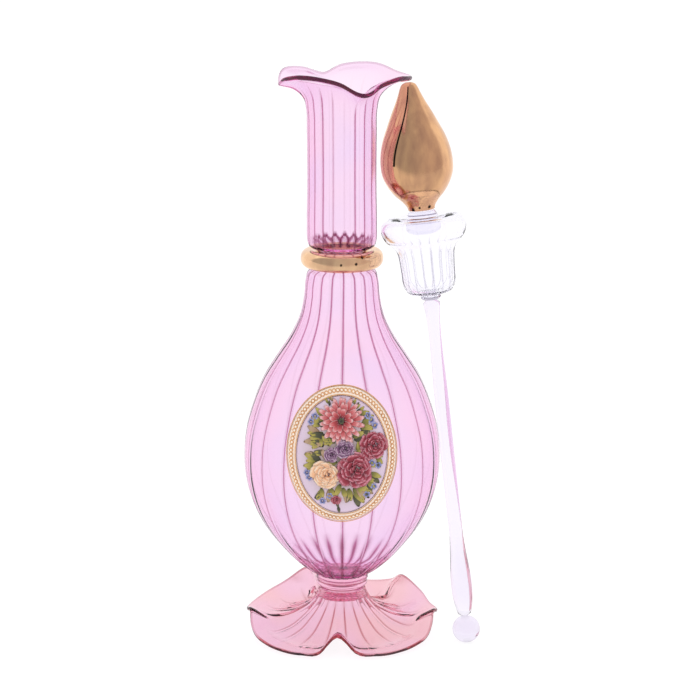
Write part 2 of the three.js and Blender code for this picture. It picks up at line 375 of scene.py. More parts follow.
def round_edge(outer, inner, ahead):
    """A half circle from the last point of outer to the last point of inner, bulging ahead."""
    centre = (outer + inner) / 2
    arm = outer - centre
    reach = ahead * np.linalg.norm(arm, axis=-1, keepdims=True)
    turns = np.linspace(0, math.pi, EDGE_ROWS + 2)[1:-1, None]
    return centre[..., None, :] + np.cos(turns) * arm[..., None, :] + np.sin(turns) * reach[..., None, :]


print("lines ready")

# %% Skins
# A point nearer the axis than this many millimetres counts as on it.
ON_AXIS = 1e-6


def skin(name, angles, lines, pushes, painted_darkness, where, marks=0.0, twist=0.0):
    """A closed skin from one (radius, height) loop for each angle. A point on the axis becomes a pole. marks
    says how strongly painted shade is drawn along creases, the darkness values are painted shade stored at
    each point, and twist turns each row."""
    columns, rows = lines.shape[:2]
    straight = np.array(angles)[:, None]
    turn = straight + twist
    at = np.stack([lines[..., 0] * np.cos(turn), lines[..., 0] * np.sin(turn), lines[..., 1]], axis=-1)
    push = np.stack([pushes[..., 0] * np.cos(turn), pushes[..., 0] * np.sin(turn), pushes[..., 1]], axis=-1)
    index = np.arange(columns * rows).reshape(columns, rows)
    poled = max(abs(lines[0, 0, 0]), abs(lines[0, -1, 0])) < ON_AXIS
    if poled:
        index[:, 0], index[:, -1] = index[0, 0], index[0, -1]
    ahead = np.roll(index, -1, axis=0)
    if poled:
        index_up, ahead_up = index[:, 1:], ahead[:, 1:]
        index, ahead = index[:, :-1], ahead[:, :-1]
    else:
        index_up, ahead_up = np.roll(index, -1, axis=1), np.roll(ahead, -1, axis=1)
    quads = np.stack([index, ahead, ahead_up, index_up], axis=-1).reshape(-1, 4)
    faces = [list(dict.fromkeys(quad)) for quad in quads.tolist()]
    mesh = bpy.data.meshes.new(name)
    mesh.from_pydata(at.reshape(-1, 3).tolist(), [], faces)
    store(mesh, "rib_angle", np.broadcast_to(straight, (columns, rows)))
    store(mesh, "rib_mark", np.broadcast_to(marks, (columns, rows)))
    store(mesh, "rib_push", push, kind="FLOAT_VECTOR")
    store(mesh, "rib_radius", lines[..., 0] * MM)
    store(mesh, "painted_dark", np.broadcast_to(painted_darkness, (columns, rows)))
    mesh.transform(where)
    return smoothed(name, mesh)


def around(steps):
    """Even angles round the axis."""
    return np.arange(steps) * 2 * math.pi / steps


def turned(name, line, steps, where, painted_dark=0.0):
    """A skin with the same line of (radius, height) all the way round."""
    lines = np.repeat(line[None], steps, axis=0)
    return skin(name, around(steps), lines, np.zeros_like(lines), painted_dark, where)


def capped(line):
    """That line with a flat end on the axis at both ends."""
    return np.concatenate([[[0, line[0, 1]]], line, [[0, line[-1, 1]]]])


def store(mesh, name, values, kind="FLOAT"):
    field = mesh.attributes.new(name, kind, "POINT")
    key = "value" if kind == "FLOAT" else "vector"
    field.data.foreach_set(key, np.ascontiguousarray(values, np.float32).ravel())


def smoothed(name, mesh):
    """An object with that mesh, without loose points, and shaded smooth."""
    work = bmesh.new()
    work.from_mesh(mesh)
    loose = [vertex for vertex in work.verts if not vertex.link_faces]
    bmesh.ops.delete(work, geom=loose, context="VERTS")
    work.to_mesh(mesh)
    work.free()
    mesh.shade_smooth()
    piece = bpy.data.objects.new(name, mesh)
    bpy.context.scene.collection.objects.link(piece)
    return piece


print("skins ready")

# %% [markdown]
# A finished piece tells the frame which body it rides on and which nodes it stands for.

# %% Finished pieces
def settle(piece, material, body, slot, *nodes):
    """Gives a finished piece its body, the nodes it stands for and, unless it has one, its material. slot is
    not used.
    """
    if material:
        piece.data.materials.clear()
        piece.data.materials.append(material)
    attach(piece, body)
    if nodes:
        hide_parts(*nodes)
    return piece


def positions(mesh):
    at = np.empty(3 * len(mesh.vertices), np.float32)
    mesh.vertices.foreach_get("co", at)
    return at.reshape(-1, 3)


print("pieces can be settled")

# %% [markdown]
# ## Optic ribs
# The gather was first blown into a ribbed mould and then out of it, so the same ribs run the whole way up,
# wide lobes with a narrow crease between them. The shape follows a rule, so Geometry Nodes make it: a tree
# takes each point's angle, works out how near it is to a crease, and pushes it in along a stored direction.
# It also paints a line of shade along each crease into the colour.

# %% The rib tree
RIBS = 20
STEPS_IN_RIB = 9


def new_tree(name, sockets):
    """A tree with these inputs, what gives an input by its label, and a signal that adds nodes."""
    tree = bpy.data.node_groups.new(name, "GeometryNodeTree")
    for label, kind, start in sockets:
        socket = tree.interface.new_socket(label, in_out="INPUT", socket_type="NodeSocket" + kind)
        if start is not None:
            socket.default_value = start
    tree.interface.new_socket("Geometry", in_out="OUTPUT", socket_type="NodeSocketGeometry")
    source = tree.nodes.new("NodeGroupInput")
    return tree, lambda label: Signal(tree, source.outputs[label]), Signal(tree)


def named(signal, name, kind="FLOAT"):
    """An attribute of the mesh that a tree works on."""
    return signal.add("GeometryNodeInputNamedAttribute", {"data_type": kind}, {"Name": name})


def end_tree(geometry, finish):
    """Makes instances real, gives them their material and sends them out of the tree."""
    whole = geometry.add("GeometryNodeRealizeInstances", sockets={0: geometry})
    dressed = whole.add("GeometryNodeSetMaterial", sockets={"Geometry": whole, "Material": finish})
    out = dressed.tree.nodes.new("NodeGroupOutput")
    dressed.tree.links.new(dressed.socket, out.inputs["Geometry"])


def grow(piece, tree, values):
    """Runs a tree on a piece with these inputs, and keeps the result as its plain mesh."""
    modifier = piece.modifiers.new(tree.name, "NODES")
    modifier.node_group = tree
    names = {item.name: item.identifier for item in tree.interface.items_tree if item.in_out == "INPUT"}
    for label, value in values.items():
        modifier[names[label]] = value
    seen = piece.evaluated_get(bpy.context.evaluated_depsgraph_get())
    mesh = bpy.data.meshes.new_from_object(seen)
    piece.modifiers.clear()
    piece.data = mesh
    mesh.name = piece.name
    return piece


rib_tree, given, s = new_tree("optic_ribs", [
    ("Geometry", "Geometry", None), ("Ribs", "Float", float(RIBS)),
    ("Turn", "Float", 0.0), ("Depth", "Float", 0.5 * MM),
    ("Sharpness", "Float", 3.0), ("Crease shade", "Float", 0.5),
    ("Crease shade width", "Float", 0.4 * MM), ("Glass", "Material", None)])
ribs_round = given("Ribs")
phase = (named(s, "rib_angle") + given("Turn")) * ribs_round * (0.5 / math.pi)
nearness = s.math("ABSOLUTE", s.math("FRACT", phase) * 2.0 - 1.0)
depth = nearness ** given("Sharpness") * given("Depth")
inward = (depth * -1.0).scaled(named(s, "rib_push", "FLOAT_VECTOR"))
moved = s.add("GeometryNodeSetPosition", sockets={"Geometry": given("Geometry"), "Offset": inward})
# Painted shade along each crease: a narrow dark line, stored where it is darker than the shade already there.
from_crease = (1.0 - nearness) * named(s, "rib_radius") * math.pi / ribs_round
widths = from_crease / given("Crease shade width")
line = s.math("EXPONENT", widths * widths * -1.0) * given("Crease shade")
darker = s.math("MAXIMUM", named(s, "painted_dark"), line * named(s, "rib_mark"))
stored = s.add("GeometryNodeStoreNamedAttribute", {"data_type": "FLOAT", "domain": "POINT"}, {
    "Geometry": moved, "Name": "painted_dark", "Value": darker})
end_tree(stored, given("Glass"))


def rib_angles(ribs, turn):
    """Angles round the axis, closer together near the creases."""
    within = (1 - np.cos(np.pi * np.arange(STEPS_IN_RIB) / STEPS_IN_RIB)) / 2
    return ((np.arange(ribs)[:, None] + within).ravel()) * 2 * math.pi / ribs - turn


print("rib tree:", len(rib_tree.nodes), "nodes")

# %% [markdown]
# ## Bulb and neck
# One wall, blown in one piece: the pear of the bulb, the waist that the ring sits in, the straight neck,
# and the mouth, which was opened hot and ruffled by hand. Nothing regular describes the mouth, so its rim
# is a short list of chosen points round the circle, and a periodic smooth curve runs through them.

# %% The body's outline
RIB_TURN = math.radians(-4)
BODY_LINE = [
    (9.9, 24.1), (14.2, 26.9), (19.6, 31.6), (24.2, 36.7), (31.0, 46.0), (35.6, 56.0), (37.9, 66.0),
    (38.2, 74.0), (37.3, 83.5), (34.6, 93.4), (30.2, 104.2), (24.9, 112.8), (19.5, 121.3), (16.2, 128.7),
    (14.6, 136.5), (13.9, 143.2), (13.1, 145.8), (11.0, 147.0), (9.3, 148.1), (8.4, 149.6), (8.1, WAIST),
    (8.4, 152.4), (9.3, 153.9), (11.0, 155.0), (12.7, 156.0), (13.4, 158.4), (13.5, 163.0), (13.3, 180.0),
    (13.4, 200.0), (13.6, 208.5)]
# Angle in degrees, radius and height of the rim.
RIM = [
    (0, 26.0, 219.6), (28, 23.8, 220.0), (60, 24.0, 222.0), (88, 22.2, 221.3), (114, 17.8, 218.9),
    (138, 21.8, 221.2), (158, 23.8, 221.4), (181, 23.6, 217.6), (203, 23.2, 220.3), (222, 22.0, 221.8),
    (250, 19.8, 221.2), (270, 20.4, 219.6), (290, 24.2, 216.2), (312, 22.3, 218.9), (336, 23.8, 220.5)]
WALL_THICK = 1.4
WAIST_THICK = 1.0
RIM_THICK = 1.8
BODY_ROWS = 240
# Rows of the inner wall left out at the bulb's floor, where it closes.
CLOSED_ROWS = 4


def round_the_circle(stations, angles):
    """Values at angles, from a periodic smooth curve through (degrees, value, ...) stations."""
    table = np.array(stations, float)
    turn = np.radians(table[:, 0])
    turn = np.concatenate([turn[-2:] - 2 * math.pi, turn, turn[:2] + 2 * math.pi])
    values = np.concatenate([table[-2:, 1:], table[:, 1:], table[:2, 1:]])
    slope = np.gradient(values, turn, axis=0)
    at = np.mod(angles, 2 * math.pi)
    left = np.clip(np.searchsorted(turn, at, side="right") - 1, 0, len(turn) - 2)
    span = (turn[left + 1] - turn[left])[:, None]
    part = (at - turn[left])[:, None] / span
    ease = part * part * (3 - 2 * part)
    bend = slope[left] * span * part * (1 - part) ** 2 - slope[left + 1] * span * part * part * (1 - part)
    return values[left] * (1 - ease) + values[left + 1] * ease + bend


def pole(height):
    """A point on the axis for each angle of a ribbed piece."""
    return np.repeat(np.array([[[0.0, height]]]), len(angles), axis=0)


angles = rib_angles(RIBS, RIB_TURN)
front = np.clip(-np.sin(angles) * 1.5, 0, 1)
nearness = np.abs(2 * np.mod((angles + RIB_TURN) * RIBS / (2 * math.pi), 1) - 1)
rim = round_the_circle(RIM, angles)
lip_r, lip_z = BODY_LINE[-1]
controls = np.repeat(np.array(BODY_LINE)[None], len(angles), axis=0)
for share_out, share_up in ((0.12, 0.5), (0.5, 0.86), (1.0, 1.0)):
    flare = [lip_r + share_out * (rim[:, 0] - lip_r), lip_z + share_up * (rim[:, 1] - lip_z)]
    controls = np.concatenate([controls, np.stack(flare, axis=-1)[:, None]], axis=1)
outer = smooth_line(controls, BODY_ROWS)
facing = outward(outer)
r, z = outer[..., 0], outer[..., 1]
thick = WALL_THICK + (WAIST_THICK - WALL_THICK) * np.exp(-(((z - WAIST) / 5) ** 2))
thick = thick + (RIM_THICK - WALL_THICK) * np.clip((z - lip_z) / 12, 0, 1)
inner = outer - facing * thick[..., None]
print("body outline:", outer.shape, "top", round(z.max(), 1), "mm")

# %% [markdown]
# Where the gather was pinched for the ring, the ribs crumple into pleats. From above they bend the gilt ring
# and the dark inside into a crown of dark zigzags, one peak to each lobe. That crown is painted shade, put
# into the colour mostly at the back.

# %% Body mesh
# Heights of the crown of painted shade: its foot and its peaks.
CROWN_FOOT = 153.4
CROWN_PEAK = 158.2
GATHER_TOP = 34.0
TWIST = math.radians(-3.5)
BODY_RIB = 0.15 * MM

# Painted shade at each point: the crown, mostly at the back, and the dark stripes of the gathered glass under
# the bulb.
near_crease = nearness[:, None]
far_side = np.clip(0.25 + 1.2 * np.sin(angles), 0, 1)[:, None]
peak = CROWN_FOOT + (CROWN_PEAK - CROWN_FOOT) * (1 - 0.7 * near_crease ** 0.8)
crown = np.exp(-(((z - peak) / 0.75) ** 2))
pleat_shade = 0.16 + 0.84 * near_crease ** 3
crown = np.maximum(crown, np.where((z > CROWN_FOOT) & (z < peak), pleat_shade, 0)) * far_side
gather_shade = 0.95 * near_crease ** 2.5 * np.clip((GATHER_TOP - z) / 5, 0, 1)
crown = np.maximum(crown, gather_shade)
# The skin's loop: floor, outside, rim and inside.
ahead = np.stack([-facing[:, -1, 1], facing[:, -1, 0]], axis=-1)
edge = round_edge(outer[:, -1], inner[:, -1], ahead)
inside = inner[:, ::-1][:, :-CLOSED_ROWS]
loop = np.concatenate([pole(24.1), outer, edge, inside, pole(25.7)], axis=1)
# How far the ribs push each point, and how strongly painted shade is drawn along their creases. They fade at
# the rim and at the back, and in the middle of the neck.
across = np.abs(np.cos(angles))[:, None]
below_rim = np.clip((rim[:, 1, None] - 2 - z) / 6, 0, 1)
on_front = np.clip(0.5 - 2.5 * np.sin(angles), 0, 1)[:, None]
deep = 1 + 5 * np.clip((GATHER_TOP - z) / 6, 0, 1)
push = facing * (below_rim * np.clip(r / 38, 0.1, 1) * (0.35 + 0.65 * on_front) * deep)[..., None]
on_neck = np.clip((z - WAIST) / 6, 0, 1)
drawn = below_rim * (0.1 + 0.9 * on_front) * (1 - on_neck * (1 - np.clip(across / 0.4, 0.1, 1)))
still = np.zeros((len(angles), 1, 2))
none = np.zeros((len(angles), 1))
pushes = np.concatenate([still, push, 0 * edge, push[:, ::-1][:, :-CLOSED_ROWS], still], axis=1)
marks = np.concatenate([none, drawn, 0 * edge[..., 0], 0 * inside[..., 0], none], axis=1)
patches = 0.5 + 0.3 * np.sin(7 * angles) + 0.2 * np.sin(17 * angles + 1)
# Painted shade on the rim, strongest at the front and in patches.
rim_shade = np.repeat((0.25 + front * (0.35 + 0.35 * patches))[:, None], edge.shape[1], axis=1)
crown_inside = 0.9 * crown[:, ::-1][:, :-CLOSED_ROWS] * (inside[..., 1] > WAIST)
painted_darkness = np.concatenate([none, crown, rim_shade, crown_inside, none], axis=1)
twist = TWIST * np.clip((160 - loop[..., 1]) / 50, 0, 1)
body_glass = skin("body_glass", angles, loop, pushes, painted_darkness, ON_BOTTLE, marks, twist)
grow(body_glass, rib_tree, {
    "Turn": RIB_TURN, "Depth": BODY_RIB, "Sharpness": 4.0, "Crease shade": 0.78, "Crease shade width": 0.3 * MM,
    "Glass": PINK_GLASS})
settle(body_glass, None, "bottle", "pink_glass", "bulb", "neck")
print("body:", len(body_glass.data.polygons), "faces")

# %% [markdown]
# ## Knop
# Two small bands of rose glass, laid hot round the joint of bulb and foot.

# %% Knop mesh
KNOP_LINE = [
    (8.4, 18.1), (8.8, 18.6), (8.9, 19.2), (9.3, 19.6), (9.9, 20.3), (9.9, 21.0), (9.5, 21.5), (9.8, 22.0),
    (10.2, 22.6), (10.1, 23.2), (9.4, 23.8)]
# Height, half width and strength of bands of painted shade in the knop's grooves and at its bottom edge.
KNOP_BANDS = [(19.2, 0.25, 0.95), (21.55, 0.22, 0.8), (18.5, 0.3, 0.25)]


def turned_solid(name, line, steps, where, count=60, bands=()):
    """A solid of revolution between two flat ends on the axis, with (height, half width, strength) bands of
    painted shade.
    """
    whole = capped(smooth_line(line, count))
    painted_dark = np.zeros(len(whole))
    for height, half, strength in bands:
        painted_dark = np.maximum(painted_dark, strength * np.exp(-(((whole[:, 1] - height) / half) ** 2)))
    return turned(name, whole, steps, where, painted_dark[None])


knop_bands = turned_solid("knop_bands", KNOP_LINE, 96, ON_BOTTLE, bands=KNOP_BANDS)
settle(knop_bands, KNOP_GLASS, "bottle", "rose_glass", "foot_knop")
print("knop:", len(knop_bands.data.polygons), "faces")

# %% [markdown]
# ## Foot
# The foot was a second gather, opened into a disc and pinched into five petals with the tool. Each station of
# its list says how far out and how high the rim is there, and how much of a fold it lies in: a fold lifts the
# glass behind the rim too, while a petal only curls at its edge.

# %% Foot mesh
# Angle in degrees, radius and height of the rim's top, and the share of a fold.
FOOT_RIM = [
    (14, 35.2, 9.0, 0.1), (30, 34.6, 11.6, 0.3), (43, 32.6, 15.6, 0.9), (56, 34.8, 11.6, 0.4),
    (84, 37.0, 9.2, 0.1), (105, 34.4, 12.6, 0.4), (121, 28.8, 17.9, 1.0), (134, 32.0, 13.0, 0.5),
    (152, 35.4, 9.6, 0.1), (168, 37.0, 8.6, 0.1), (180, 36.8, 9.6, 0.2), (187, 35.6, 10.4, 0.3),
    (194, 36.2, 7.4, 0.2), (204, 36.7, 4.2, 0.05), (216, 36.6, 2.9, 0), (230, 36.8, 2.5, 0),
    (244, 36.5, 2.6, 0.1), (257, 34.4, 4.0, 0.5), (262, 32.2, 7.6, 0.9), (267, 31.2, 9.2, 1.0),
    (272, 32.2, 7.6, 0.9), (278, 34.2, 4.0, 0.5), (292, 36.5, 2.6, 0.1), (308, 36.8, 2.5, 0),
    (322, 36.6, 2.9, 0), (334, 36.7, 4.2, 0.05), (343, 36.2, 7.4, 0.2), (350, 35.6, 10.4, 0.3),
    (358, 36.8, 9.4, 0.2)]
FOOT_THICK = 1.5
FOOT_ROWS = 110
# Rows of the underside left out under the throat, where it closes, and the lowest that glass may reach.
THROAT_ROWS = 8
FOOT_FLOOR = 0.02

foot_rim = round_the_circle(FOOT_RIM, angles)
reach, top, fold = foot_rim[:, 0], foot_rim[:, 1], foot_rim[:, 2]
lift = top - FOOT_THICK - 0.2
at_back = np.clip((np.sin(angles) + 0.34) / 0.3, 0, 1)
raised = np.maximum(lift * fold, 7.2 * at_back)
# The top surface, from the rim in to the throat. The folds and the back stand higher.
behind_rim = np.maximum(lift * (0.6 + 0.25 * fold), 5.9 * at_back)
columns = [
    (reach, top), (0.9 * reach, 2.6 + behind_rim), (0.76 * reach, 3.2 + 0.5 * raised),
    (21.5, 5.0 + 0.34 * raised), (16.5, 8.4 + 0.15 * raised), (12.6, 12.0 + 0 * reach),
    (10.2, 15.4 + 0 * reach), (9.3, 17.7 + 0 * reach)]
foot_controls = np.stack([np.stack(np.broadcast_arrays(*column), axis=-1) for column in columns], axis=1)
foot_top = smooth_line(foot_controls, FOOT_ROWS)
foot_facing = outward(foot_top)
under = foot_top - foot_facing * FOOT_THICK
under[..., 1] = np.maximum(under[..., 1], FOOT_FLOOR)
ahead = np.stack([foot_facing[:, 0, 1], -foot_facing[:, 0, 0]], axis=-1)
edge = round_edge(under[:, 0], foot_top[:, 0], ahead)
edge[..., 1] = np.maximum(edge[..., 1], FOOT_FLOOR)
below = under[:, ::-1][:, THROAT_ROWS:]
loop = np.concatenate([pole(15.6), below, edge, foot_top, pole(17.7)], axis=1)
foot_r, foot_z = foot_top[..., 0], foot_top[..., 1]
# The ribs fade towards the rim and gather in the throat.
fade = np.clip((0.86 * reach[:, None] - foot_r) / 7, 0, 1)
throat = np.clip((foot_z - 12) / 2, 0, 1)
push = foot_facing * (fade * np.clip(foot_r / 20, 0.3, 1) * (1 + 1.2 * throat))[..., None]
pushes = np.concatenate([still, 0.8 * push[:, ::-1][:, THROAT_ROWS:], 0 * edge, push, still], axis=1)
# Painted shade along the creases, fading in the throat; painted shade on the rim, strongest at the front and
# in the folds; and painted shade at the throat's pleats.
marks = np.concatenate([none, 0 * below[..., 0], 0 * edge[..., 0], fade * (1 - 0.5 * throat), none], axis=1)
rim_shade = np.repeat((0.1 + 0.75 * front * patches + 0.35 * fold)[:, None], edge.shape[1], axis=1)
throat_shade = 0.22 * throat * near_crease ** 2
painted_darkness = np.concatenate([none, 0 * below[..., 0], rim_shade, throat_shade, none], axis=1)
foot_glass = skin("foot_glass", angles, loop, pushes, painted_darkness, ON_BOTTLE, marks)
grow(foot_glass, rib_tree, {
    "Turn": RIB_TURN, "Depth": 0.28 * MM, "Sharpness": 4.0, "Crease shade": 0.75, "Crease shade width": 0.24 * MM,
    "Glass": ROSE_GLASS})
settle(foot_glass, None, "bottle", "rose_glass", "foot")
print("foot:", len(foot_glass.data.polygons), "faces, lowest", round(foot_top[..., 1].min(), 2))

# %% [markdown]
# ## Ring
# A thick glass ring under gold lustre. It is a turned ring with a slightly flattened section, a little uneven
# where it was smoothed by hand.

# %% Ring mesh
def spotted(turns, line, spots):
    """Round spots at (azimuth in degrees, height, size) on the skin of a line of (radius, height)."""
    spread = np.zeros((len(turns), len(line)))
    for azimuth, height, size in spots:
        off = (np.array(turns)[:, None] - math.radians(azimuth)) * line[:, 0]
        spread = np.maximum(spread, np.exp(-(off ** 2 + (line[:, 1] - height) ** 2) / size ** 2))
    return spread


ring_out, _, ring_half = half_size("collar_ring")
RING_ACROSS = 3.5
RING_STEPS = 256
# Dark spots painted on the gilt: azimuth in degrees, height and size.
RING_SPOTS = [(269, WAIST + 0.3, 0.5), (290, WAIST + 0.5, 0.6), (301, WAIST + 2.6, 0.5)]
turns = np.linspace(0, 2 * math.pi, 56, endpoint=False)
section = np.stack([
    ring_out - RING_ACROSS + RING_ACROSS * np.sign(np.cos(turns)) * np.abs(np.cos(turns)) ** 0.9,
    WAIST + ring_half * np.sign(np.sin(turns)) * np.abs(np.sin(turns)) ** 0.85], axis=-1)
outside = section[:, 0] > section[:, 0].mean()
dark_marks = spotted(around(RING_STEPS), section, RING_SPOTS) * outside
ring_gold = turned("ring_gold", section, RING_STEPS, ON_BOTTLE, dark_marks)
settle(ring_gold, RING_GILT, "bottle", "ring_gilt", "collar_ring")
print("ring:", round(ring_out, 2), "mm out,", round(2 * ring_half, 2), "mm tall")

# %% [markdown]
# ## Picture
# The oval picture is enamel: a pale ground with flowers raised on it in coloured glass paste, petal by petal.
# Everything in it is drawn flat, with x across and y up from its middle, and then bent onto the bulb.

# %% Laying flat work on the bulb
picture_low, picture_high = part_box("flower_picture")
PICTURE_Z = (picture_low.z + picture_high.z) / 2 / MM
GROUND_HALF = half_size("flower_picture")[::2]
FRAME_HALF = half_size("picture_frame")[::2]
bulb_side = smooth_line(BODY_LINE, 400)


def lay(piece):
    """Bends a flat piece onto the front of the bulb, where its z becomes the height off the glass."""
    mesh = piece.data
    x, y, height = positions(mesh).T
    radius = np.interp(PICTURE_Z + y, bulb_side[:, 1], bulb_side[:, 0]) + height
    laid = np.stack([x, -np.sqrt(radius ** 2 - x ** 2), PICTURE_Z + y], axis=-1)
    mesh.vertices.foreach_set("co", laid.astype(np.float32).ravel())
    mesh.transform(ON_BOTTLE)
    return piece


print("picture at", round(PICTURE_Z, 1), "mm, half", [round(v, 1) for v in GROUND_HALF])

# %% Enamel materials
def enamel(name, root, middle, tip, edge):
    """Paste that runs from root to tip along each petal, with a paler or darker edge and fine streaks."""
    material, s = plain_material(name)
    along, across = attribute(s, "along"), attribute(s, "across")
    place = s.add("ShaderNodeTexCoord", out="Object")
    grain = s.noise(place, 1400.0, 2.0)
    streak = s.math("SINE", across * 9.0 + along * 2.0) * 0.5 + 0.5
    body = along.stretched(0.0, 0.55).mixed(root, middle)
    body = (along.stretched(0.45, 1.0) * (streak * 0.5 + 0.5)).mixed(body, tip)
    rim = s.math("MAXIMUM", along, s.math("ABSOLUTE", across) * 0.97).stretched(0.72, 0.94)
    body = (rim * (grain.stretched(0.3, 0.6))).mixed(body, edge)
    bump = s.add("ShaderNodeBump", sockets={"Height": grain, "Strength": 0.25, "Distance": 0.0002})
    shader = s.add("ShaderNodeBsdfPrincipled", sockets={
        "Base Color": (grain * 0.25).mixed(body, middle), "Roughness": grain * 0.2 + 0.28,
        "Normal": bump})
    return finished(material, shader)


GROUND = enamel("ground_enamel", (0.20, 0.15, 0.10), (0.55, 0.43, 0.46), (0.80, 0.66, 0.82),
                (0.74, 0.58, 0.78))
DAISY = enamel("daisy_enamel", (0.17, 0.008, 0.012), (0.50, 0.06, 0.07), (0.86, 0.36, 0.36),
               (0.97, 0.70, 0.70))
ROSE = enamel("rose_enamel", (0.06, 0.002, 0.008), (0.24, 0.012, 0.03), (0.46, 0.05, 0.09),
              (0.90, 0.42, 0.50))
PEACH = enamel("peach_enamel", (0.50, 0.15, 0.05), (0.83, 0.44, 0.24), (0.94, 0.64, 0.42),
               (0.99, 0.86, 0.70))
VIOLET = enamel("violet_enamel", (0.03, 0.008, 0.04), (0.11, 0.03, 0.10), (0.42, 0.20, 0.36),
                (0.86, 0.66, 0.80))
LEAF = enamel("leaf_enamel", (0.05, 0.07, 0.02), (0.30, 0.26, 0.05), (0.68, 0.56, 0.14),
              (0.42, 0.34, 0.10))
DRY = enamel("dry_leaf_enamel", (0.16, 0.08, 0.05), (0.40, 0.26, 0.15), (0.60, 0.46, 0.30),
             (0.34, 0.20, 0.13))
BLUE = enamel("blue_enamel", (0.04, 0.04, 0.12), (0.20, 0.22, 0.46), (0.46, 0.48, 0.74),
              (0.62, 0.62, 0.84))
DARK = enamel("dark_enamel", (0.03, 0.035, 0.02), (0.07, 0.07, 0.035), (0.20, 0.19, 0.08),
              (0.04, 0.035, 0.02))
print("enamels ready")

# %% Ground
def flat_disc(name, half, low, high, material):
    """A thin oval pillow between two heights, with along running from its middle to its edge."""
    share = np.linspace(0, 1, 26)[1:-1]
    under = np.stack([share, 0 * share + low], axis=-1)
    over = np.stack([share[::-1], 0 * share + high], axis=-1)
    line = np.concatenate([[[0, low]], under, [[1, (low + high) / 2]], over, [[0, high]]])
    piece = turned(name, line, 96, Matrix.Diagonal((half[0], half[1], 1, 1)))
    outwards = np.linalg.norm(positions(piece.data)[:, :2] / np.array(half), axis=-1)
    store(piece.data, "along", outwards * 0.9)
    return settle(lay(piece), material, "bottle", "flower_enamel")


ground = flat_disc("painted_ground", GROUND_HALF, 0.15, 0.6, GROUND)
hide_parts("flower_picture")
print("ground:", len(ground.data.polygons), "faces")

# %% [markdown]
# A flower is a few rings of petals, one over the other. Each ring is one petal shape repeated round a centre,
# so a tree of Geometry Nodes makes it, with a little disorder from a fixed seed.

# %% Petal shape
PETAL_THICK = 0.16


def petal(name, length, width, cup, lift, blunt):
    """One closed petal along +x from its root. cup raises its sides and lift its tip."""
    along = np.linspace(0, 1, 8)[:, None]
    across = np.linspace(-1, 1, 7)[None, :]
    half = width / 2 * np.clip(np.sin(math.pi * (0.08 + 0.86 * along) ** 0.9) ** blunt, 0.12, 1)
    x = length * (along + 0 * across)
    y = half * across
    middle_line = cup * across ** 2 + lift * along ** 2
    top = middle_line + PETAL_THICK * np.sqrt(np.clip(1 - across ** 2, 0, 1)) * np.sin(math.pi * along)
    bottom = middle_line - 0.4 * PETAL_THICK * (1 - across ** 2) * np.sin(math.pi * along)
    count = x.size
    upper = np.arange(count).reshape(x.shape)
    lower = upper.copy()
    lower[1:-1, 1:-1] += count
    quads = []
    for sheet, turn in ((upper, 1), (lower, -1)):
        corners = [sheet[:-1, :-1], sheet[1:, :-1], sheet[1:, 1:], sheet[:-1, 1:]]
        quads += np.stack(corners, axis=-1).reshape(-1, 4)[:, ::turn].tolist()
    points = np.concatenate([np.stack([x, y, height], -1).reshape(-1, 3) for height in (top, bottom)])
    mesh = bpy.data.meshes.new(name)
    mesh.from_pydata(points.tolist(), [], quads)
    store(mesh, "along", np.concatenate([(along + 0 * across).ravel()] * 2))
    store(mesh, "across", np.concatenate([(across + 0 * along).ravel()] * 2))
    return smoothed(name, mesh)


petal_tree, given, s = new_tree("petal_ring", [
    ("Geometry", "Geometry", None), ("Count", "Int", 8), ("Radius", "Float", 1.0),
    ("Centre", "Vector", None), ("Turn", "Float", 0.0), ("Tilt", "Float", 0.1),
    ("Disorder", "Float", 0.1), ("Seed", "Int", 1), ("Enamel", "Material", None)])
order = s.add("GeometryNodeInputIndex")
seed = given("Seed")


def random(low, high, offset):
    """A number of its own for each petal."""
    return s.add("FunctionNodeRandomValue", {"data_type": "FLOAT"}, {
        "Min": low, "Max": high, "ID": order, "Seed": seed + float(offset)}, out="Value")


disorder = given("Disorder")
angle = order / given("Count") * (2 * math.pi) + given("Turn")
angle = angle + random(-1.0, 1.0, 0) * disorder
out_from = given("Radius") * (random(-0.5, 0.5, 1) * disorder + 1.0)
step_up = s.math("MODULO", order, 2.0) * 0.07
arm = s.xyz(s.math("COSINE", angle) * out_from, s.math("SINE", angle) * out_from, step_up)
spot = s.vector("ADD", arm, given("Centre"))
roots = s.add("GeometryNodePoints", sockets={"Count": given("Count"), "Position": spot})
pose = s.xyz(random(-0.6, 0.6, 2) * disorder, given("Tilt") * -1.0, angle)
size = random(-0.6, 0.6, 3) * disorder + 1.0
petals = s.add("GeometryNodeInstanceOnPoints", sockets={
    "Points": roots, "Instance": given("Geometry"), "Rotation": pose, "Scale": s.xyz(size, size, 1.0)})
end_tree(petals, given("Enamel"))
print("petal tree:", len(petal_tree.nodes), "nodes")

# %% Flowers and leaves
def ring_of(count, radius, length, width, centre, turn, material, cup=0.15, lift=0.1, tilt=0.05,
            disorder=0.12, seed=1, blunt=0.55):
    """A ring of petals round centre, as one flat piece."""
    piece = petal("petals", length, width, cup, lift, blunt)
    return grow(piece, petal_tree, {
        "Count": count, "Radius": radius, "Centre": centre, "Turn": turn, "Tilt": tilt, "Disorder": disorder,
        "Seed": seed, "Enamel": material})


def joined(name, pieces, slot="flower_enamel", *nodes):
    """One piece of several flat ones, laid on the bulb."""
    with bpy.context.temp_override(active_object=pieces[0], selected_editable_objects=pieces):
        bpy.ops.object.join()
    whole = pieces[0]
    whole.name = whole.data.name = name
    whole.data.shade_smooth()
    return settle(lay(whole), None, "bottle", slot, *nodes)


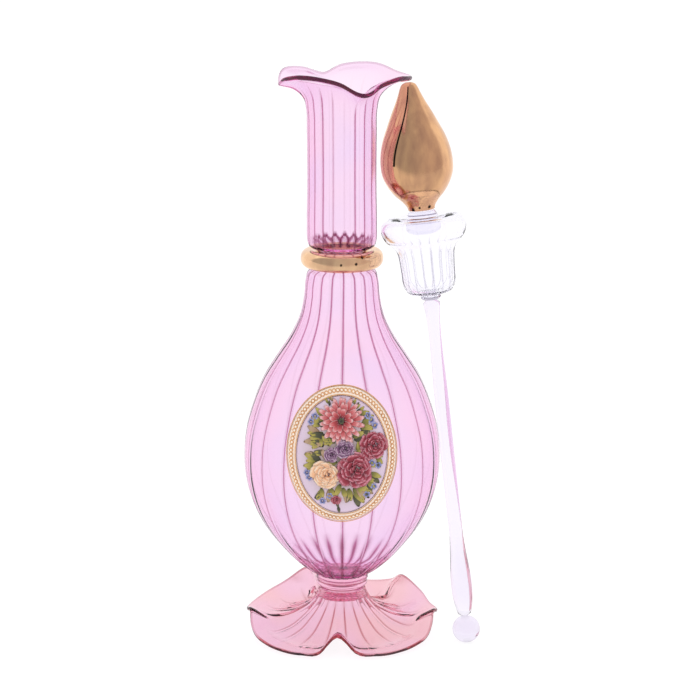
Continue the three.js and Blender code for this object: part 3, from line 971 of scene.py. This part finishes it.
def rose(x, y, r, material, seed):
    """Broad petals that close in ring by ring on a tight heart."""
    rings = []
    for step, (count, share) in enumerate(((8, 1.0), (7, 0.82), (6, 0.64), (5, 0.47), (4, 0.32), (3, 0.18))):
        rings.append(ring_of(
            count, 0.36 * r * share, 0.66 * r * share, 0.95 * r * share,
            (x + 0.05 * r * step, y + 0.03 * r * step, 0.72 + 0.17 * step), 0.7 * step, material, cup=0.12,
            lift=0.14, tilt=0.05 + 0.04 * step, disorder=0.3, seed=seed + step, blunt=0.4))
    return rings


def daisy(x, y, r, material, seed):
    """Long narrow petals in three layers."""
    rings = []
    for step, (count, root, length) in enumerate(((19, 0.26, 0.74), (15, 0.2, 0.6), (11, 0.14, 0.4))):
        rings.append(ring_of(
            count, root * r, length * r, 0.235 * r, (x, y, 0.75 + 0.2 * step), 0.3 * step, material,
            cup=0.10, lift=0.12, tilt=0.03 + 0.02 * step, disorder=0.14, seed=seed + step, blunt=0.5))
    return rings


def leaf(x, y, turn, length, material=LEAF):
    """A leaf is a single petal with pointed ends. Its turn is in degrees."""
    return ring_of(1, 0.0, length, 0.46 * length, (x, y, 0.62), math.radians(turn), material, cup=0.12,
                   lift=0.05, tilt=0.02, disorder=0.0, blunt=0.9)


def floret(x, y, r, seed):
    """A small blue flower with five petals."""
    return ring_of(5, 0.22 * r, 0.85 * r, 0.8 * r, (x, y, 0.68), 0.4 * seed, BLUE, disorder=0.15, seed=seed)


print("flowers ready")

# %% [markdown]
# The bouquet is loose: a daisy at the top, roses to the right and below, and leaves in the gaps. Leaves are
# (x, y, turn, length), and dark and young ones repeat their places with a small shift.

# %% Bouquet
joined("daisy", daisy(-0.2, 13.4, 8.6, DAISY, 3))
joined("daisy_heart", [
    ring_of(7, 0.15, 0.95, 0.9, (-0.2, 13.4, 1.5), 0.0, DARK, cup=0.05, lift=0.15, tilt=0.1, seed=5),
    ring_of(6, 0.9, 0.8, 0.45, (-0.2, 13.4, 1.3), 0.3, ROSE, cup=0.05, lift=0.1, tilt=0.1, seed=6)])
joined("red_roses", rose(12.0, 3.8, 4.9, ROSE, 11) + rose(4.9, -5.0, 6.5, ROSE, 21))
joined("peach_rose", rose(-6.2, -7.0, 5.4, PEACH, 31))
joined("carnation", rose(0.9, 3.2, 3.7, VIOLET, 41) + rose(-4.0, 0.9, 2.6, VIOLET, 47))
LEAVES = [
    (5.2, 17.5, 40, 2.3), (6.6, 15.5, 10, 3.9), (6.9, 11.7, -20, 5.3), (4.6, 19.1, 70, 2.1),
    (-5.2, 19.3, 118, 2.1), (-7.2, 11.7, 165, 4.7), (-7, 8.7, 205, 5.9), (-7.4, 4.8, 180, 5.3),
    (-6.4, 2, 195, 4.9), (-3, 7.2, 215, 4.7), (4, 7.4, 20, 4.9), (-8.6, -1.4, 160, 5.9),
    (-9.2, -3.6, 200, 4.2), (-7.4, -12.6, 245, 4.9), (10.6, -6.4, -25, 4.8), (9.6, -8.9, -55, 4.9),
    (2.6, -12.1, -80, 5.1), (4.6, -12.6, -55, 6.7), (7.4, -11.7, -35, 4.7), (13, -0.3, -50, 3.8),
    (-2.6, -13, -110, 4.2)]
DRY_LEAVES = [
    (-8.2, 8.2, 150, 5.5), (-9.6, 5.9, 190, 4.9), (-7.4, 6.9, 235, 4.7), (-8.6, 10.8, 128, 4.7),
    (-9, 0.3, 172, 4.9), (2, -13.2, -95, 4.7), (-4.2, -12.1, -100, 5.7), (8.4, -12.6, -30, 4),
    (6, -10.6, -68, 6.8), (10.4, 10.6, 22, 3.3), (-3.6, 20.1, 100, 2.2), (3.2, 19.7, 78, 2.1),
    (7.4, 9.9, -30, 4.9), (-5.4, -1.2, 120, 4.7)]
GAP_LEAVES = [
    (-2.4, 5.6, 170, 4.4), (-1.8, -1.6, 200, 4.6), (-0.4, -2.8, 250, 3.8), (5.6, 2.6, 60, 4.4),
    (7.0, 1.2, 100, 4.8), (4.6, 1.0, 20, 4.2), (-4.4, 4.2, 130, 4.6), (-9.0, -3.4, 185, 5.6),
    (-0.6, -10.4, 250, 5.0), (0.4, -11.8, 285, 4.6), (9.4, -2.0, -30, 4.4), (-6.4, 11.6, 150, 5.4),
    (-6.8, 14.6, 135, 4.4), (7.6, 11.8, 35, 5.4)]
joined("leaves", [leaf(*place) for place in LEAVES + GAP_LEAVES])
joined("dark_leaves", [
    leaf(x + 0.6, y - 0.8, turn - 24, 0.95 * length, DARK) for x, y, turn, length in LEAVES])
joined("dry_leaves", [leaf(*place, DRY) for place in DRY_LEAVES])
joined("young_leaves", [
    leaf(x - 0.4, y + 0.5, turn + 34, 0.8 * length) for x, y, turn, length in LEAVES[1::2] + DRY_LEAVES[::2]])
FLORETS = [
    (11.2, 13.2), (12.5, 11.1), (9.8, 15), (13.8, -3.6), (11.4, -2.5), (9.4, -14.7), (-4.6, -15.1),
    (-7.3, -17.3), (-13.2, -6.4), (-12.4, -8.3), (-10.1, 14.7), (-11.7, 12.5), (12.2, -11.7)]
joined("florets", [floret(x, y, 1.25, 3 + number) for number, (x, y) in enumerate(FLORETS)])
joined("bud", rose(-2.2, -16.6, 1.8, ROSE, 61) + [
    leaf(-2.0, -17.6, -72, 2.4, DARK), leaf(-1.4, -19.4, -80, 2.6, DARK)])
print("bouquet:", len(LEAVES), "leaves,", len(FLORETS), "florets")

# %% [markdown]
# ## Rope frame
# The frame imitates a cord: two strands cross and cross again between two plain rails, with a cream bead in
# each opening over a flat cream band; the cream beads and band are painted highlights on the gold. A strand
# is the oval itself, moved in and out by a sine, so one tree makes strands and rails.

# %% Rope tree
WAVES = 46
STEPS_IN_WAVE = 20
rope_tree, given, s = new_tree("oval_strand", [
    ("Geometry", "Geometry", None), ("Half width", "Float", 19.0),
    ("Half height", "Float", 24.0), ("Offset", "Float", 0.0), ("Weave", "Float", 0.0),
    ("Waves", "Float", float(WAVES)), ("Phase", "Float", 0.0), ("Radius", "Float", 0.3),
    ("Lift", "Float", 1.0), ("Flatness", "Float", 0.7), ("Gilt", "Material", None)])


def oval_of(given, s, samples):
    """The oval of the frame's middle line, as a curve with that many points."""
    circle = s.add("GeometryNodeCurvePrimitiveCircle", sockets={"Resolution": 256, "Radius": 1.0})
    spot = s.add("GeometryNodeInputPosition")
    spread = s.vector("MULTIPLY", spot, s.xyz(given("Half width"), given("Half height"), 1.0))
    oval = s.add("GeometryNodeSetPosition", sockets={"Geometry": circle, "Position": spread})
    return s.add("GeometryNodeResampleCurve", sockets={"Curve": oval, "Count": samples})


oval = oval_of(given, s, WAVES * STEPS_IN_WAVE)
way = s.add("GeometryNodeSplineParameter", out="Factor")
turn = way * given("Waves") * (2 * math.pi) + given("Phase")
tangent = s.add("GeometryNodeInputTangent")
sideways = s.vector("CROSS_PRODUCT", tangent, (0, 0, 1))
reach = s.math("SINE", turn) * given("Weave") + given("Offset")
climb = s.math("COSINE", turn) * given("Weave") * 0.35
shift = s.vector("ADD", reach.scaled(sideways), s.xyz(z=climb))
woven = s.add("GeometryNodeSetPosition", sockets={"Geometry": oval, "Offset": shift})
profile = s.add("GeometryNodeCurvePrimitiveCircle", sockets={"Resolution": 8, "Radius": given("Radius")})
tube = s.add("GeometryNodeCurveToMesh", sockets={"Curve": woven, "Profile Curve": profile})
place = s.add("GeometryNodeInputPosition")
flat = s.vector("MULTIPLY_ADD", place, s.xyz(1.0, 1.0, given("Flatness")), s.xyz(z=given("Lift")))
strand = s.add("GeometryNodeSetPosition", sockets={"Geometry": tube, "Position": flat})
end_tree(strand, given("Gilt"))
print("rope tree:", len(rope_tree.nodes), "nodes")

# %% Highlight bead tree
highlight_bead_tree, given, s = new_tree("oval_highlight_beads", [
    ("Geometry", "Geometry", None), ("Half width", "Float", 19.0),
    ("Half height", "Float", 24.0), ("Count", "Int", 2 * WAVES), ("Radius", "Float", 0.5),
    ("Lift", "Float", 1.0), ("Highlight", "Material", None)])
beads_at = oval_of(given, s, given("Count"))
tangent = s.add("GeometryNodeInputTangent")
ahead_way = s.add("FunctionNodeAlignRotationToVector", {"axis": "X"}, {"Vector": tangent})
bead = s.add("GeometryNodeMeshUVSphere", sockets={"Segments": 10, "Rings": 6, "Radius": given("Radius")})
beads = s.add("GeometryNodeInstanceOnPoints", sockets={
    "Points": beads_at, "Instance": bead, "Rotation": ahead_way, "Scale": (1.25, 0.95, 0.8)})
raised = s.add("GeometryNodeTranslateInstances", sockets={
    "Instances": beads, "Translation": s.xyz(z=given("Lift")), "Local Space": False})
end_tree(raised, given("Highlight"))
print("pearl tree:", len(highlight_bead_tree.nodes), "nodes")

# %% Rope and highlight beads
def empty_piece(name):
    piece = bpy.data.objects.new(name, bpy.data.meshes.new(name))
    bpy.context.scene.collection.objects.link(piece)
    return piece


# The cream beads and the flat cream band are painted highlights on the gold rope.
CREAM_HIGHLIGHT = enamel("cream_highlight_enamel", (1.0, 0.87, 0.74), (1.0, 0.85, 0.70), (1.0, 0.95, 0.86),
               (0.96, 0.76, 0.58))
RAIL = 0.17
band_half = (FRAME_HALF[0] - GROUND_HALF[0]) / 2
middle_oval = {"Half width": FRAME_HALF[0] - band_half, "Half height": FRAME_HALF[1] - band_half}
# Offset from the middle of the band, weave, phase, radius, lift, flatness and material of each strand.
STRANDS = [
    (band_half - RAIL, 0.0, 0.0, RAIL, 0.85, 0.9, ROPE_GILT),
    (RAIL - band_half, 0.0, 0.0, RAIL, 0.85, 0.9, ROPE_GILT),
    # The flat cream band, a painted highlight.
    (-0.28, 0.0, 0.0, band_half - 0.1, 0.5, 0.2, CREAM_HIGHLIGHT),
    (0.0, 0.62, 0.5 * math.pi, 0.2, 1.0, 1.0, ROPE_GILT),
    (0.0, 0.62, 1.5 * math.pi, 0.2, 1.0, 1.0, ROPE_GILT)]
rope = joined("rope_frame", [
    grow(empty_piece("strand"), rope_tree, {
        **middle_oval, "Offset": offset, "Weave": weave, "Phase": phase, "Radius": radius, "Lift": lift,
        "Flatness": flatness, "Gilt": finish})
    for offset, weave, phase, radius, lift, flatness, finish in STRANDS], "frame_gilt", "picture_frame")
joined("highlight_beads", [
    grow(empty_piece("highlight_beads"), highlight_bead_tree, {**middle_oval, "Radius": 0.48, "Lift": 1.0, "Highlight": CREAM_HIGHLIGHT})])
print("rope:", len(rope.data.polygons), "faces,", 2 * WAVES, "highlight_beads")

# %% [markdown]
# ## Stopper
# The stopper is one line of clear glass with a gilt flame on top: a ball, a long rod, a weld, a ribbed plug
# that was blown as a small cup and rolled over at the top, and a bead. They are all turned about the
# leaning axis.

# %% Ball, rod and weld
BALL_R = half_size("dipper_ball")[0]
turns = np.linspace(-math.pi / 2, math.pi / 2, 40)[1:-1]
ball_line = np.stack([BALL_R * np.cos(turns), BALL_R * np.sin(turns)], axis=-1)
ball_glass = turned_solid("ball_glass", ball_line, 64, ON_STOPPER, count=48)
settle(ball_glass, THICK_GLASS, "dipper_ball", "clear_glass", "dipper_ball")
rod_line = [
    (1.6, BALL_R + 0.3), (2.4, BALL_R + 0.6), (2.7, BALL_R + 1.6), (2.65, 40), (2.75, 90), (2.85, 126),
    (3.2, 129.8), (3.0, 130.6), (2.2, 130.9)]
rod_glass = turned_solid("rod_glass", rod_line, 40, ON_STOPPER, count=90)
settle(rod_glass, THICK_GLASS, "stopper", "clear_glass", "dipper_rod")
weld_line = [(2.4, 131.1), (3.2, 131.4), (3.9, 132.1), (3.8, 132.8), (3.0, 133.0)]
# The weld's band is painted shade.
weld_glass = turned_solid("weld_glass", weld_line, 40, ON_STOPPER, count=16, bands=[(131.6, 0.4, 0.8)])
settle(weld_glass, CLEAR_GLASS, "stopper", "clear_glass", "rod_weld")
print("ball", round(BALL_R, 2), "mm")

# %% Plug and bead
PLUG_RIBS = 18
PLUG_LINE = [
    (0.0, 133.3), (5.0, 133.4), (8.2, 134.3), (10.0, 137.2), (10.5, 142.0), (10.8, 147.4), (11.3, 150.4),
    (12.9, 153.0), (14.9, 154.8), (16.2, 157.4), (16.4, 160.0), (15.5, 162.4), (13.2, 163.9), (10.4, 164.1),
    (8.4, 163.6), (7.5, 162.7), (8.4, 162.1), (10.4, 162.6), (12.9, 162.4), (14.5, 161.1), (15.1, 159.5),
    (14.8, 157.7), (13.7, 155.9), (11.9, 154.2), (10.3, 151.6), (9.8, 147.8), (9.5, 143.0), (9.0, 138.4),
    (7.2, 135.6), (0.0, 134.6)]
ROLL_FROM = 152.5
PLUG_STEPS = 200
plug_angles = rib_angles(PLUG_RIBS, 0.0)
plug_line = smooth_line(PLUG_LINE, PLUG_STEPS)
plug_facing = outward(plug_line)
lines = np.repeat(plug_line[None], len(plug_angles), axis=0)
cup = np.clip((ROLL_FROM - plug_line[:, 1]) / 3, 0.12, 1) * np.clip(plug_line[:, 0] / 8, 0, 1)
within = np.arange(PLUG_STEPS) > np.argmax(plug_line[:, 1])
push = plug_facing * (cup * np.where(within, -1, 1))[:, None]
push = np.repeat(push[None], len(plug_angles), axis=0)
# How strongly painted shade is drawn along the plug's creases, on the outside of the cup only.
marks = np.where(within, 0, cup)[None]
plug_glass = skin("plug_glass", plug_angles, lines, push, 0.0, ON_STOPPER, marks)
grow(plug_glass, rib_tree, {
    "Ribs": float(PLUG_RIBS), "Depth": 0.07 * MM, "Sharpness": 3.0, "Crease shade": 0.55, "Crease shade width": 0.22 * MM,
    "Glass": CLEAR_GLASS})
settle(plug_glass, None, "stopper", "clear_glass", "stopper_plug")
bead_line = [(4.6, 156.8), (6.0, 157.8), (6.7, 159.6), (6.7, 161.4), (6.2, 163.2), (5.5, 164.6), (5.0, 165.6)]
# The bead's band is painted shade.
bead_glass = turned_solid("bead_glass", bead_line, 64, ON_STOPPER, count=60, bands=[(162.2, 0.3, 1.0)])
settle(bead_glass, CLEAR_GLASS, "stopper", "clear_glass", "finial_seat")
print("plug:", len(plug_glass.data.polygons), "faces")

# %% Flame
# A painted reflection, a dark line, runs down the flame, and dark spots are painted near its foot. Azimuths
# are in degrees round the stopper, heights and sizes in millimetres.
DARK_REFLECTION_FROM, DARK_REFLECTION_TO = 184.5, 213.5
DARK_REFLECTION_AZIMUTH, DARK_REFLECTION_SWING = 231, 34
DARK_SPOTS = [(232, 166.8, 0.8), (262, 167.4, 0.5), (304, 167.4, 0.7)]
FLAME_LINE = [
    (4.4, 166.0), (5.0, 166.2), (5.4, 167.4), (6.8, 169.4), (9.6, 172.4), (12.1, 176.2), (13.6, 180.2),
    (13.9, 184.0), (13.5, 188.4), (12.2, 193.4), (9.9, 198.8), (7.4, 204.2), (5.5, 208.0), (4.2, 211.0),
    (3.4, 213.0), (2.6, 214.3), (1.2, 215.0)]
FLAME_STEPS = 240
# Half width of the painted reflection line.
DARK_REFLECTION_HALF = 0.42

whole = capped(smooth_line(FLAME_LINE, 150))
flame_turns = around(FLAME_STEPS)
rise = np.clip((whole[:, 1] - DARK_REFLECTION_FROM) / (DARK_REFLECTION_TO - DARK_REFLECTION_FROM), 0, 1)
reflection_at = np.radians(DARK_REFLECTION_AZIMUTH + DARK_REFLECTION_SWING * rise ** 1.4)
off_reflection = (flame_turns[:, None] - reflection_at) * whole[:, 0] / (DARK_REFLECTION_HALF * (1.2 - 0.6 * rise))
inside_reflection = (whole[:, 1] > DARK_REFLECTION_FROM) & (whole[:, 1] < DARK_REFLECTION_TO)
dark_marks = np.exp(-(off_reflection ** 2)) * inside_reflection
dark_marks = np.maximum(dark_marks, spotted(flame_turns, whole, DARK_SPOTS))
flame_gold = turned("flame_gold", whole, FLAME_STEPS, ON_STOPPER, dark_marks)
settle(flame_gold, FLAME_GILT, "stopper", "finial_gilt", "finial")
print("flame:", len(flame_gold.data.polygons), "faces")
